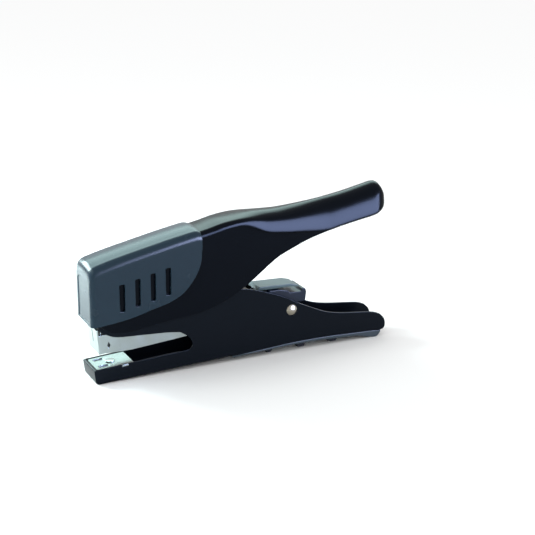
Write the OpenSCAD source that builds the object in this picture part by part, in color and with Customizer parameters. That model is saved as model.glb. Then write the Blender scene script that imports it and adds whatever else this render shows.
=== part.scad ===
// Plier stapler with a fixed C-frame, a compound lever and a rear-loading magazine.
// X runs from the nose to the handles, Y across, Z up; it stands on Z = 0.

/* [Widths] */
// Half-width of the frame, outside
frame_half = 9.0; // [8.8:0.1:9.1]
// Half-width of the lever shell, outside
lever_half = 10.45; // [10.4:0.05:10.5]
// Half-width of the nose cap, outside
cap_half = 12.0; // [11.9:0.1:12.2]
// Half-width inside the magazine, for staples with a 12.7 mm crown
mag_inner = 6.45; // [6.4:0.01:6.5]

/* [Sheet] */
// Thickness of the frame's sheet
frame_t = 1.0; // [0.9:0.05:1.1]
// Thickness of the lever's sheet
lever_t = 1.1; // [1.0:0.05:1.1]
// Thickness of the magazine's sheet
mag_t = 0.6; // [0.5:0.05:0.6]
// Thickness of the driver's sheet
driver_t = 0.6; // [0.5:0.05:0.6]

/* [Pivots] */
// Radius of the main rivet's shank
rivet_r = 1.5; // [1.4:0.05:1.5]
// Radius of the lever's fulcrum pin
fulcrum_r = 2.0; // [1.8:0.1:2.2]
// Radius of the pressure roller
roller_r = 3.5; // [3.3:0.1:3.5]
// Radius of the roller's pin
roller_pin_r = 1.4; // [1.2:0.1:1.4]
// Radial clearance of the running fits
fit_gap = 0.05; // [0.03:0.01:0.08]

/* [Nose cap] */
// Slots on each side of the cap
slot_count = 4; // [3:1:4]
// Distance from slot to slot
slot_pitch = 8.0; // [7:0.5:8]
// Width of a slot
slot_w = 2.9; // [2:0.1:3]
// Length of a slot
slot_len = 14.2; // [10:0.1:14.5]
// Radius of the cap's long top edges
cap_round = 5; // [4:0.5:6]

/* [Magazine] */
// Rise of the magazine from the nose to the main rivet, in degrees
mag_tilt = 4.8; // [4.7:0.1:4.9]
// Height of the magazine's walls above the rivet's axis
mag_wall_top = 10.6; // [10:0.1:10.8]

/* [Hidden] */

PAINT = [0.10, 0.11, 0.13];
STEEL = [0.80, 0.84, 0.85];
SLATE = [0.30, 0.37, 0.43];
RUBBER = [0.07, 0.07, 0.08];

// the three axes that everything turns about, in the X-Z plane
RIVET = [26.5, 23];
FULCRUM = [-72.5, 46];
ROLLER = [-34.4, 45];

frame_in = frame_half - frame_t;
lever_in = lever_half - lever_t;
mag_half = mag_inner + mag_t;
driver_in = mag_half + 0.15;
driver_half = driver_in + driver_t;
core_half = mag_inner - 0.85;
far = 120;

// A smooth curve through the points p, with n steps from each point to the next
function bend(a, b, c, d, t) = 0.5 * (2 * b + (c - a) * t + (2 * a - 5 * b + 4 * c - d) * t * t
    + (3 * b - a - 3 * c + d) * t * t * t);
function smooth(p, n = 4) = let (e = len(p) - 1) concat(
    [for (i = [0 : e - 1]) for (k = [0 : n - 1])
        bend(p[max(i - 1, 0)], p[i], p[i + 1], p[min(i + 2, e)], k / n)],
    [p[e]]);
function arc(c, r, from, to, n = 10) =
    [for (k = [0 : n]) let (a = from + (to - from) * k / n) c + r * [cos(a), sin(a)]];
function raised(p, dz) = [for (q = p) q + [0, dz]];

function without_doubles(p) =
    [for (i = [0 : len(p) - 1]) if (norm(p[i] - p[(i + 1) % len(p)]) > 0.01) p[i]];

// An outline in the X-Z plane, made solid from y0 to y1
module slab(p, y0, y1) {
    translate([0, y1, 0]) rotate([90, 0, 0]) linear_extrude(y1 - y0) polygon(without_doubles(p));
}
module both_sides() {
    children();
    mirror([0, 1, 0]) children();
}
// A pin or a hole across the object, from y0 to y1
module across(at, r, y0, y1) {
    translate([at.x, y1, at.y]) rotate([90, 0, 0]) cylinder(r = r, h = y1 - y0, $fn = 48);
}
// The magazine's own frame: x along it from the main rivet, z square to it
module along_magazine() {
    translate([RIVET.x, 0, RIVET.y]) rotate([0, -mag_tilt, 0]) children();
}
module block(x, y, z) {
    translate([x[0], y[0], z[0]]) cube([x[1] - x[0], y[1] - y[0], z[1] - z[0]]);
}
// An inverted trough along X, open below. Each station is [x, half-width, corner radius, top,
// bottom], and may end with its own thickness at the top. It is hollow from the station numbered
// first to the one numbered last.
arc_steps = 6;
function top_t(s, t) = t > 0 && len(s) > 5 ? s[5] : t;
function arch_corner(s, t, side) = let (r = max(min(s[2], 0.9 * (s[3] - s[4])) - t, 0.2))
    [for (k = [0 : arc_steps]) let (a = side < 0 ? 180 - 90 * k / arc_steps : 90 - 90 * k / arc_steps)
        [s[0], side * (s[1] - t - r) + r * cos(a), s[3] - top_t(s, t) - r + r * sin(a)]];
function arch(s, t) = concat([[s[0], t - s[1], s[4]]], arch_corner(s, t, -1),
    arch_corner(s, t, 1), [[s[0], s[1] - t, s[4]]]);
module trough(stations, t, first, last) {
    e = len(stations) - 1;
    m = 2 * arc_steps + 4;
    points = concat([for (s = stations) each arch(s, 0)],
        [for (i = [first : last]) each arch(stations[i], t)]);
    function o(i, k) = i * m + k;
    function n(i, k) = (e + 1 + i - first) * m + k;
    outer = [for (i = [0 : e - 1]) for (k = [0 : m - 2])
        [o(i, k), o(i, k + 1), o(i + 1, k + 1), o(i + 1, k)]];
    inner = [for (i = [first : last - 1]) for (k = [0 : m - 2])
        [n(i, k), n(i + 1, k), n(i + 1, k + 1), n(i, k + 1)]];
    lips = [for (i = [first : last - 1]) each [[o(i, 0), o(i + 1, 0), n(i + 1, 0), n(i, 0)],
        [o(i + 1, m - 1), o(i, m - 1), n(i, m - 1), n(i + 1, m - 1)]]];
    soles = [for (i = [0 : e - 1]) if (i < first - 1 || i > last)
        [o(i, 0), o(i + 1, 0), o(i + 1, m - 1), o(i, m - 1)]];
    forth = [for (k = [0 : m - 1]) k];
    back = [for (k = [m - 1 : -1 : 0]) k];
    front = first == 0
        ? [concat([for (k = back) o(0, k)], [for (k = forth) n(0, k)])]
        : [[for (k = back) o(0, k)], [for (k = forth) n(first, k)],
            [o(first - 1, 0), o(first, 0), n(first, 0), n(first, m - 1), o(first, m - 1),
                o(first - 1, m - 1)]];
    rear = last == e
        ? [concat([for (k = forth) o(e, k)], [for (k = back) n(e, k)])]
        : [[for (k = forth) o(e, k)], [for (k = back) n(last, k)],
            [o(last, 0), o(last + 1, 0), o(last + 1, m - 1), o(last, m - 1), n(last, m - 1),
                n(last, 0)]];
    polyhedron(points, concat(outer, inner, lips, soles, front, rear));
}
// The half-width of an end that is rounded off with radius r, at a distance d from its tip
function rounded_end(half, r, d) = d >= r ? half : half - r + sqrt(r * r - (r - d) * (r - d));

// ---- frame: outline of the wall, from the toe of the anvil arm round to the throat
BELLY = [[-78.4, 0], [-52, 1.0], [-30.5, 2.0], [-8.7, 2.9], [2.8, 3.4], [14.2, 4.0], [25.7, 4.7],
    [37.5, 4.9], [49.2, 4.8], [61.2, 4.3], [73.3, 3.8], [78.5, 3.4]];
REAR_END = [[78.5, 3.4], [81.4, 4.3], [82.3, 6.8], [81.4, 10.2], [78.8, 12.9]];
HANDLE_TOP = [[78.8, 12.9], [74.8, 14.5], [67, 15.6], [54.9, 17.1], [46, 19.2], [37.8, 22.8],
    [29, 27], [22.7, 30.4], [15.3, 33.6], [9.7, 35.6], [4.1, 37.4], [-0.6, 38.3], [-7, 38.4],
    [-14, 36.9], [-22, 34.9], [-30, 34.2], [-38, 34.2], [-46, 34.8], [-54, 38], [-62, 42],
    [-66.6, 46]];
CHEEK = [[-78.2, 31.5], [-78.3, 28.9], [-76.4, 26.7], [-73.5, 25.1], [-70.5, 23.8], [-66.7, 23.1],
    [-61.8, 22.8], [-51.3, 22.2], [-42, 21.6], [-35.5, 20.7]];
THROAT_END = [[-35.5, 20.7], [-31.9, 18.4], [-29.5, 15.6], [-28.9, 13.2], [-29.8, 11.2],
    [-32.3, 10.5]];
ARM_TOP = [[-32.3, 10.5], [-46.5, 9.8], [-60.3, 8.9], [-79, 7.8]];
TOE = [[-79, 7.8], [-80.3, 7.7], [-80.9, 7.0], [-80.3, 1.7], [-79.7, 0.5], [-78.4, 0]];
HORN_R = 5.9;
frame_outline = concat(smooth(BELLY), smooth(REAR_END), smooth(HANDLE_TOP, 3),
    arc(FULCRUM, HORN_R, 8, 170), smooth(CHEEK, 3), smooth(THROAT_END, 5), smooth(ARM_TOP, 2),
    smooth(TOE, 3));
frame_hollow = concat([[-79.2, frame_t]], raised(smooth(BELLY), frame_t),
    [[far, 3.4 + frame_t], [far, far], [-79.8, far], [-79.8, 2]]);
SCREWS = [3, 66];
screw_r = 1.2;

module screw_holes(r) {
    for (x = SCREWS) translate([x, 0, -1]) cylinder(r = r, h = 9, $fn = 32);
}

module frame_shell() color(PAINT) difference() {
    slab(frame_outline, -frame_half, frame_half);
    slab(frame_hollow, -frame_in, frame_in);
    across(RIVET, rivet_r, -20, 20);
    across(FULCRUM, fulcrum_r, -20, 20);
    screw_holes(screw_r);
    translate([ANVIL_AT.x, 0, -1]) cylinder(r = anvil_post_r, h = 9, $fn = 32);
    lug_notch();
}

// ---- anvil: a plate let in between the walls of the arm, with two clinch pockets
ANVIL_AT = [-69.8, 8.05];
anvil_slope = 3.4;
anvil_t = 1.0;
anvil_post_r = 1.6;
anvil_half = frame_in - 0.02;
ANVIL_PLAN = [[-10.0, -4.6], [-8.8, -anvil_half], [9.8, -anvil_half], [9.8, anvil_half],
    [-8.8, anvil_half], [-10.0, 4.6]];

module on_anvil() {
    translate([ANVIL_AT.x, 0, ANVIL_AT.y]) rotate([0, -anvil_slope, 0]) children();
}
module lug_notch() on_anvil() block([3.2, 6.8], [-frame_half - 1, -frame_in + 0.5], [-1.0, 2]);

module anvil_plate() color(STEEL) difference() {
    on_anvil() difference() {
        union() {
            translate([0, 0, -anvil_t]) linear_extrude(anvil_t) polygon(ANVIL_PLAN);
            block([3.3, 6.7], [-frame_half + 0.1, -anvil_half], [-0.9, 0]);
        }
        for (y = [-4.5, 4.5]) for (x = [-5.6, -3.6]) translate([x, y, 3.4])
            rotate([90, 0, 0]) cylinder(r = 3.9, h = 2.9, center = true, $fn = 48);
        translate([5, -frame_half + 1.6, -2]) cylinder(r = 0.6, h = 4, $fn = 24);
    }
    translate([ANVIL_AT.x, 0, -1]) cylinder(r = anvil_post_r, h = 12, $fn = 32);
}

module anvil_rivet() color(STEEL) translate([ANVIL_AT.x, 0, 0]) rotate_extrude($fn = 40)
    polygon([[0, 0.6], [anvil_post_r, 0.6], [anvil_post_r, ANVIL_AT.y + 0.15],
        [2.5, ANVIL_AT.y + 0.15], [2.4, ANVIL_AT.y + 0.45], [0, ANVIL_AT.y + 0.6]]);

// ---- main rivet: a plain shank with a domed head on each side
module main_rivet() color(STEEL) {
    head_r = 3.0;
    head_h = 1.3;
    dome_r = (head_r * head_r + head_h * head_h) / (2 * head_h);
    across(RIVET, rivet_r, -frame_half, frame_half);
    for (side = [-1, 1]) intersection() {
        translate([RIVET.x, side * (frame_half + head_h - dome_r), RIVET.y])
            sphere(r = dome_r, $fn = 64);
        across(RIVET, head_r, side > 0 ? frame_half : -frame_half - 2,
            side > 0 ? frame_half + 2 : -frame_half);
    }
}

module fulcrum_pin() color(STEEL)
    across(FULCRUM, fulcrum_r, -lever_half + 0.05, lever_half - 0.05);

// ---- sole: a moulded strip under the lower handle, with rubber pads let into it
SOLE_UNDER = [[78.3, 0.5], [75.9, 0], [70, 1.2], [65, 2.3], [55.2, 2.8], [43.3, 3.4], [25.7, 3.4],
    [9.6, 2.7], [-6.2, 2.0]];
sole_half = 8.6;
sole_outline = concat(smooth([for (q = BELLY) if (q.x > -10) q]), [[79.9, 3.6], [79.8, 2.4]],
    smooth(SOLE_UNDER), [[-6.8, 2.2], [-6.9, 2.96]]);
PADS = [[13.2, 17.4], [31.2, 36.4], [48.0, 55.4]];
pad_half = 5;
pad_top = 2.95;

module pad(i) {
    steep = i == 2 ? 3.4 : 0.8;
    slab([[PADS[i][0], pad_top], [PADS[i][0], 2.2], [PADS[i][0] + steep, 0],
        [PADS[i][1] - 0.8, 0], [PADS[i][1], 1.4], [PADS[i][1], pad_top]], -pad_half, pad_half);
}
module sole_strip() color(SLATE) difference() {
    intersection() {
        slab(sole_outline, -sole_half, sole_half);
        slab(concat([[-8.7, -2]], [for (q = smooth(BELLY)) if (q.x > -10) q],
            [[82, 3.6], [82, -2]]), -sole_half, sole_half);
    }
    for (i = [0 : 2]) pad(i);
    screw_holes(screw_r);
    for (x = SCREWS) translate([x, 0, -1]) cylinder(r = 2.4, h = x < 10 ? 3.4 : 3.0, $fn = 32);
}
module sole_screws() color(STEEL) for (x = SCREWS) {
    head_top = x < 10 ? 2.4 : 2.0;
    difference() {
        union() {
            translate([x, 0, head_top - 0.1]) cylinder(r = screw_r, h = 4.3, $fn = 32);
            translate([x, 0, head_top - 0.8]) cylinder(r = 2.3, h = 0.8, $fn = 32);
        }
        for (turn = [0, 90]) translate([x, 0, head_top - 0.6]) rotate(turn)
            cube([2.6, 0.5, 0.9], center = true);
    }
}

// ---- lift spring of the magazine, on a pressed seat on the frame's floor
SPRING_X = -12;
seat_z = 4.0;
lift_top = 20.5;

function coil_ring(c, r, wire, a, sides) = [for (k = [0 : sides - 1]) let (b = 360 * k / sides)
    c + [(r + wire * cos(b)) * cos(a), (r + wire * cos(b)) * sin(a), wire * sin(b)]];
// A coil spring along +Z from 0 to h: r to the middle of a wire of radius w
module coil(r, w, h, turns, steps, sides) {
    count = turns * steps;
    rings = [for (i = [0 : count])
        each coil_ring([0, 0, w + (h - 2 * w) * i / count], r, w, 360 * i / steps, sides)];
    sides_faces = [for (i = [0 : count - 1]) for (k = [0 : sides - 1]) let (n = (k + 1) % sides)
        [i * sides + k, i * sides + n, (i + 1) * sides + n, (i + 1) * sides + k]];
    ends = [[for (k = [sides - 1 : -1 : 0]) k], [for (k = [0 : sides - 1]) count * sides + k]];
    polyhedron(rings, concat(sides_faces, ends));
}

module spring_seat() color(STEEL) translate([SPRING_X, 0, seat_z]) difference() {
    union() {
        cylinder(r = 5, h = 0.5, $fn = 40);
        cylinder(r = 2.2, h = 2.5, $fn = 40);
    }
    translate([0, 0, -1]) cylinder(r = 1.4, h = 6, $fn = 40);
}
module lift_spring() color(STEEL) translate([SPRING_X, 0, seat_z + 0.55])
    coil(3.0, 0.45, lift_top - seat_z - 0.6, 6, 16, 6);

// ---- lever: an inverted trough with rounded top edges, closed at the end of the grip
LEVER_TOP = [[-79, 56.9], [-77, 59.9], [-73, 61.7], [-66.5, 63.3], [-42.9, 68.3], [-28, 71.1],
    [-19, 72.8], [-9, 75.0], [6.5, 76.5], [24, 76.4], [45, 78.4], [60, 80.6], [72, 83.1],
    [77.5, 84.2], [79.8, 83.2], [81.4, 80.4], [82.2, 77.6], [82.4, 76.2]];
LEVER_UNDER = [[-79, 34], [-76.5, 29.6], [-71, 26.6], [-62.3, 25.7], [-51.9, 26.9],
    [-43.4, 28.1], [-33.3, 28.9], [-25.2, 29.9], [-17.5, 31.9], [-9, 35.2], [-1.5, 39.4],
    [4.4, 43.4], [10.3, 47.8], [18.2, 53.3], [28.2, 57.7], [36.2, 60.7], [50.2, 64.4],
    [62.1, 66.7], [73.4, 68.7], [78.4, 70.7], [81.2, 72.9], [82.4, 75.0]];
GRIP_CORNER = [[-79, 3.4], [-26, 3.4], [-8, 7.5], [90, 7.5]];
GRIP_TIP = 82.4;
bush_r = 3.2;
grip_end_round = 5;
lever_x = concat([for (x = [-79 : 3.5 : 74]) x], [76, 77.5, 79, 80.1, 81.1, 81.8, 82.25]);
lever_top = smooth(LEVER_TOP);
lever_under = smooth(LEVER_UNDER);
lever_stations = [for (x = lever_x) [x, rounded_end(lever_half, grip_end_round, GRIP_TIP - x),
    lookup(x, GRIP_CORNER), lookup(x, lever_top), lookup(x, lever_under)]];

// the pressing is one mesh, pierced for the two bushes and for the roller's pin
module lever_shell() color(PAINT) resize([0, 0, 0]) difference() {
    trough(lever_stations, lever_t, 0, len(lever_x) - 3);
    across(FULCRUM, bush_r + 0.02, -20, 20);
    across(ROLLER, roller_pin_r + 0.02, -20, 20);
}
// the lever turns on the fulcrum pin in two plain bushes, one in each of its walls
module fulcrum_bushes() color(STEEL) both_sides() difference() {
    across(FULCRUM, bush_r, lever_in, lever_half);
    across(FULCRUM, fulcrum_r + fit_gap, 0, 20);
}

// ---- nose cap: a moulded cover pushed over the lever's front, with slots in its sides
CAP_TOP = [[-82.4, 56.4], [-82.0, 58.6], [-80.6, 60.6], [-76.5, 62.4], [-66.5, 65], [-42.9, 70],
    [-30, 72.5], [-27, 72.9], [-24.6, 72.8], [-23.7, 72.4]];
CAP_UNDER = [[-82.4, 30.7], [-64.1, 32.7], [-51.1, 35.9], [-42, 38.2], [-34.4, 42],
    [-28.7, 48.3], [-25.5, 54.3], [-24.2, 60.3], [-23.7, 65.5]];
CAP_NOSE = -82.4;
cap_front_round = 3;
cap_t = cap_half - lever_half - 0.05;
cap_x = concat([-82.4, -82.0, -81.4, -80.6, -79.6, -78.6], [for (x = [-76 : 4 : -32]) x],
    [-30, -28.5, -27, -25.8, -24.8, -24.1, -23.7]);
cap_top = smooth(CAP_TOP);
cap_under = smooth(CAP_UNDER);
// at its rear end the cap thins out over the lever's top
cap_stations = [for (x = cap_x) let (top = lookup(x, cap_top)) [x,
    rounded_end(cap_half, cap_front_round, x - CAP_NOSE + 0.1),
    cap_round, top, lookup(x, cap_under), min(cap_t, top - lookup(x, lever_top) - 0.05)]];
slot_tilt = 1.5;
SLOT_AT = [-66.2, 44.0];
SLOT_RISE = [0, 1.55, 3.25, 5.15];

module cap_slot(at) {
    reach = slot_len / 2 - slot_w / 2;
    translate([at.x, 0, at.y]) rotate([0, slot_tilt, 0]) {
        for (end = [-1, 1]) across([0, end * reach], slot_w / 2, -20, 20);
        block([-slot_w / 2, slot_w / 2], [-20, 20], [-reach, reach]);
    }
}
module nose_cap() color(SLATE) resize([0, 0, 0]) difference() {
    trough(cap_stations, cap_t, 3, len(cap_x) - 1);
    for (i = [0 : slot_count - 1])
        cap_slot(SLOT_AT + [i * slot_pitch, SLOT_RISE[i]]);
}

module roller_pin() color(STEEL)
    across(ROLLER, roller_pin_r, -lever_half + 0.05, lever_half - 0.05);
module pressure_roller() color(STEEL) difference() {
    across(ROLLER, roller_r, -4.5, 4.5);
    across(ROLLER, roller_pin_r + fit_gap, -6, 6);
}

// ---- magazine: a channel on the main rivet, with ears, and a bright nose plate
floor_z = 1.0;
wall_end = -13;
MAG_UNDER = [[-77.4, 15.3], [-66, 15.0], [-61, 15.0], [-55.5, 15.4], [-31.8, 17.4], [0, 20.1],
    [20, 20.3]];
slot_x = -101.6;

module magazine_walls() {
    intersection() {
        along_magazine() difference() {
            block([-103.6, wall_end], [-mag_half, mag_half], [-8, mag_wall_top]);
            block([-110, 0], [-mag_inner, mag_inner], [-9, 20]);
        }
        slab(concat(MAG_UNDER, [[20, 60], [-90, 60], [-90, 15.2]]), -20, 20);
    }
    // ears that reach back to the main rivet
    for (side = [-1, 1]) along_magazine() {
        y = side > 0 ? [mag_inner, mag_half] : [-mag_half, -mag_inner];
        block([wall_end - 0.5, 0], y, [-2.6, 2.2]);
        translate([0, y[1], -0.2]) rotate([90, 0, 0]) cylinder(r = 2.4, h = mag_t, $fn = 40);
    }
}
module magazine_channel() color(STEEL) difference() {
    union() {
        magazine_walls();
        along_magazine() block([slot_x, -8], [-mag_half, mag_half], [floor_z, floor_z + mag_t]);
        along_magazine() block([-14.6, wall_end], [-mag_half, mag_half], [9.6, mag_wall_top]);
    }
    across(RIVET, rivet_r + fit_gap, -20, 20);
    nose_notch();
}
// a small diamond window through both sides of the nose
NOTCH = [-72.6, 19.5];
notch_w = 1.7;
notch_h = 3.2;
module nose_notch() slab([for (a = [0 : 90 : 270]) NOTCH + [notch_w * cos(a), notch_h * sin(a)] / 2],
    -20, 20);
module nose_plate() color(STEEL) difference() {
    along_magazine() difference() {
        union() {
            block([-104.4, -103.6], [-mag_half - 0.55, mag_half + 0.55], [0.9, 13.6]);
            for (side = [-1, 1]) block([-103.7, -93.5], side > 0 ? [mag_half, mag_half + 0.55]
                : [-mag_half - 0.55, -mag_half], [0.9, 10.6]);
        }
        block([-106, -103], [-0.5, 0.5], [5.4, 12]);
    }
    slab([[-90, 0], [-90, 15.2], [-66, 15.0], [-50, 15.0], [-50, 0]], -20, 20);
    nose_notch();
}
// the rail that staples straddle, slotted along its top for the follower's neck
module staple_core() color(STEEL) along_magazine() difference() {
    block([slot_x, -19.5], [-core_half, core_half], [floor_z + mag_t, 7.2]);
    block([-110, 0], [-core_half + mag_t, core_half - mag_t], [0, 6.6]);
    block([-100.1, 0], [-1.2, 1.2], [0, 10]);
}

// ---- driver: an inverted trough over the magazine, pressed down by the roller
DRIVER_TOP = [[-77.6, 36.4], [-70, 37.4], [-56, 39.6], [-44, 41], [-38, 41.2], [-31, 41.2],
    [-22, 40.4], [-10, 38.6], [-2, 37.0], [5.5, 35.0]];
driver_plate_t = 1.0;
DRIVER_SKIRT = [[5.5, 35.0], [13, 30.2], [20, 26.2], [28.6, 25.0], [29.0, 23], [28.2, 21.2],
    [26.5, 20.5], [24.6, 21.2], [16, 24.4], [6, 28.6], [-10, 30.5], [-40, 31], [-62, 31.5],
    [-66, 34.5], [-66, 37.6], [-56, 39.2], [-44, 40.6], [-22, 40.0], [-10, 38.2]];

module driver_arm() color(PAINT) difference() {
    union() {
        slab(concat(DRIVER_TOP, [for (i = [len(DRIVER_TOP) - 1 : -1 : 0])
            DRIVER_TOP[i] - [0, driver_plate_t]]), -driver_half, driver_half);
        both_sides() slab(DRIVER_SKIRT, driver_in, driver_half);
    }
    across(RIVET, rivet_r + fit_gap, -20, 20);
    block([-90, -67], [6.4, 20], [0, 60]);
    block([-90, -67], [-20, -6.4], [0, 60]);
    blade_rivet_holes();
}
module blade_rivet_holes() for (y = [-3, 3])
    translate([-72.5, y, 20]) cylinder(r = 0.9, h = 30, $fn = 24);
// the blade stands square to the magazine and is folded back under the arm's front end
module driver_blade() color(STEEL) difference() {
    union() {
        along_magazine() block([-102.4, -101.8], [-6.2, 6.2], [8.3, 20.6]);
        slab([[-77.6, 34.7], [-77.6, 35.4], [-70, 36.4], [-69, 36.55], [-69, 35.9], [-70, 35.8]],
            -5.6, 5.6);
    }
    blade_rivet_holes();
}
module blade_rivets() color(STEEL) for (y = [-3, 3]) translate([-72.5, y, 0]) {
    translate([0, 0, 34.6]) cylinder(r = 0.9, h = 3.0, $fn = 24);
    translate([0, 0, 37.3]) cylinder(r = 1.6, h = 0.6, $fn = 24);
    translate([0, 0, 34.1]) cylinder(r = 1.5, h = 0.9, $fn = 24);
}

// ---- loader: a moulded knob that draws the guide rod and the follower out to the rear
rod_z = 3.8;
rod_r = 0.9;
KNOB = [[13.9, 25.9], [35.2, 26.1], [35.9, 30.8], [35.5, 32.6], [34.8, 33.2], [33.5, 33.2],
    [32.8, 31.7], [26.4, 31.9], [25.2, 33.2], [20, 34.2], [15.0, 34.4], [14.2, 33.6]];
knob_half = 7.0;
LATCH_PIN = [20, 33.0];
latch_pin_r = 0.8;

module knob_rod_bore() along_magazine() translate([-110, 0, rod_z]) rotate([0, 90, 0])
    cylinder(r = rod_r, h = 116, $fn = 32);
module loader_knob() color(SLATE) difference() {
    union() {
        slab(KNOB, -knob_half, knob_half);
        along_magazine() block([-18.2, -12], [-core_half, core_half], [2.5, 8.8]);
    }
    knob_rod_bore();
    block([7, 24.5], [-3.2, 3.2], [31.0, 40]);
    across(LATCH_PIN, latch_pin_r, -5.4, 5.4);
    along_magazine() block([-30, -10], [-3.4, 3.4], [7.6, 20]);
}
module guide_rod() color(STEEL) along_magazine() translate([-99.4, 0, rod_z])
    rotate([0, 90, 0]) cylinder(r = rod_r, h = 105.4, $fn = 32);
module rod_clip() color(STEEL) along_magazine() translate([-99.1, 0, rod_z])
    rotate([0, 90, 0]) difference() {
        cylinder(r = 1.7, h = 0.5, $fn = 32);
        translate([0, 0, -1]) cylinder(r = rod_r, h = 3, $fn = 32);
    }
module latch_pin() color(STEEL) across(LATCH_PIN, latch_pin_r, -5.3, 5.3);
module latch_spring() color(STEEL) translate([22.4, 0, 31.1]) coil(1.1, 0.2, 3.1, 4, 12, 5);

// ---- latch: a moulded rocker on the knob, hooked over the strap of the magazine
LATCH_BODY = [[8.2, 34.9], [9.8, 36.75], [27.4, 36.1], [31.8, 34.9], [31.6, 34.2], [27, 34.6],
    [9.2, 34.75]];
module latch() color(SLATE) difference() {
    union() {
        slab(LATCH_BODY, -5.6, 5.6);
        slab([[17.6, 34.9], [22.0, 34.9], [21.4, 31.6], [18.6, 31.6]], -3.0, 3.0);
        slab([[9.4, 35], [10.9, 35], [10.9, 31.0], [10.2, 31.0]], -3.0, 3.0);
    }
    across(LATCH_PIN, latch_pin_r + fit_gap, -9, 9);
    translate([22.4, 0, 20]) cylinder(r = 1.5, h = 14.25, $fn = 24);
}

// ---- follower: a shoe on the guide rod with a saddle that pushes the staples
module follower() color(STEEL) along_magazine() difference() {
    union() {
        block([-99.8, -91.5], [-4.4, 4.4], [2.0, 6.2]);
        block([-99.6, -91.5], [-0.9, 0.9], [6.0, 8]);
        block([-101.2, -91.5], [-6.2, 6.2], [7.4, 9.4]);
        for (side = [-1, 1]) block([-101.2, -92.5], side > 0 ? [core_half + 0.15, 6.2]
            : [-6.2, -core_half - 0.15], [2.4, 7.5]);
    }
    translate([-110, 0, rod_z]) rotate([0, 90, 0]) cylinder(r = rod_r + fit_gap, h = 30, $fn = 32);
    translate([-110, 0, rod_z]) rotate([0, 90, 0]) cylinder(r = 2.0, h = 11.9, $fn = 32);
}
module follower_spring() color(STEEL) along_magazine() translate([-91.4, 0, rod_z])
    rotate([0, 90, 0]) coil(1.45, 0.25, 73, 30, 8, 5);

frame_shell();
anvil_plate();
anvil_rivet();
main_rivet();
fulcrum_pin();
sole_strip();
sole_screws();
color(RUBBER) pad(0);  // grip_pad_1
color(RUBBER) pad(1);  // grip_pad_2
color(RUBBER) pad(2);  // grip_pad_3
spring_seat();
lift_spring();
lever_shell();
fulcrum_bushes();
nose_cap();
roller_pin();
pressure_roller();
magazine_channel();
nose_plate();
staple_core();
driver_arm();
driver_blade();
blade_rivets();
loader_knob();
guide_rod();
rod_clip();
latch_pin();
latch_spring();
latch();
follower();
follower_spring();
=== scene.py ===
import bisect
import math

import bmesh
import bpy
from mathutils import Matrix, Vector


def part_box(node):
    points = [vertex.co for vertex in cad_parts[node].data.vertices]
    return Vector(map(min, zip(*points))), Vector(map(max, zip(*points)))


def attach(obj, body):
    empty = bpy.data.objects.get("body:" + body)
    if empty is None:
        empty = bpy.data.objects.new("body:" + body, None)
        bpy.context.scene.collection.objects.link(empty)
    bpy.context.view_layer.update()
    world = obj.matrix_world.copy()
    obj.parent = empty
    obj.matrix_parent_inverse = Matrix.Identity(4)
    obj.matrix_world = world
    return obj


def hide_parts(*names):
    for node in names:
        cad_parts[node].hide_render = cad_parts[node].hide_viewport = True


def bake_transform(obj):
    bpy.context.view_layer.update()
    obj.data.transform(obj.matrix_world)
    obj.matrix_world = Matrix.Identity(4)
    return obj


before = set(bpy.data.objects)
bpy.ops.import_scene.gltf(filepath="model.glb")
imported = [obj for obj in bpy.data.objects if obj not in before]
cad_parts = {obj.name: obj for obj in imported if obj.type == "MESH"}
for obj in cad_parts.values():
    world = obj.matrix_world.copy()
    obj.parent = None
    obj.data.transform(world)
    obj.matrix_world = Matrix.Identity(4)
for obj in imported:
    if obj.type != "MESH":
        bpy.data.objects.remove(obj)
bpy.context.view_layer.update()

# ---- Camera, floor and studio light.
# The stapler stands nose to the left, seen from its left side, a little from the front and
# from above, on a plain pale floor under broad soft lights.
VIEW_AZIMUTH = math.radians(-25.3)
VIEW_ELEVATION = math.radians(18.1)
VIEW_DISTANCE = 0.732
VIEW_LENS = 95.0
VIEW_TARGET = Vector((0.01927, 0.00508, 0.04292))


def from_angles(azimuth, elevation):
    return Vector((math.sin(azimuth) * math.cos(elevation),
                   -math.cos(azimuth) * math.cos(elevation), math.sin(elevation)))


def aimed(thing, place, target):
    thing.location = place
    thing.rotation_euler = (target - place).to_track_quat("-Z", "Y").to_euler()
    bpy.context.scene.collection.objects.link(thing)
    return thing


camera_data = bpy.data.cameras.new("camera")
camera_data.lens = VIEW_LENS
camera_data.sensor_width = 36
camera = aimed(bpy.data.objects.new("camera", camera_data),
               VIEW_TARGET + VIEW_DISTANCE * from_angles(VIEW_AZIMUTH, VIEW_ELEVATION), VIEW_TARGET)
bpy.context.scene.camera = camera
bpy.context.scene.view_settings.view_transform = "Standard"


def soft_light(name, azimuth, elevation, distance, size, power, tint, target=(0, 0, 0.04),
               gloss_only=False):
    data = bpy.data.lights.new(name, "AREA")
    data.color = tint
    data.shape = "RECTANGLE"
    data.size, data.size_y = size
    data.energy = power
    place = Vector(target) + distance * from_angles(math.radians(azimuth), math.radians(elevation))
    light = aimed(bpy.data.objects.new(name, data), place, Vector(target))
    light.visible_diffuse = not gloss_only
    return light


soft_light("nose_light", -150, 58, 0.17, (0.14, 0.12), 1.8, tint=(0.8, 1.0, 1.0),
           target=(-0.16, 0.16, 0))
soft_light("left_light", -100, 40, 0.9, (0.5, 0.4), 2, tint=(0.85, 1.0, 1.0))
soft_light("top_light", 166, 38, 0.95, (1.3, 0.46), 11, tint=(0.70, 1.0, 0.96), gloss_only=True)
soft_light("grip_light", 33, 16, 0.9, (0.64, 0.5), 47, tint=(0.54, 0.62, 1.0), gloss_only=True)

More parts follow.
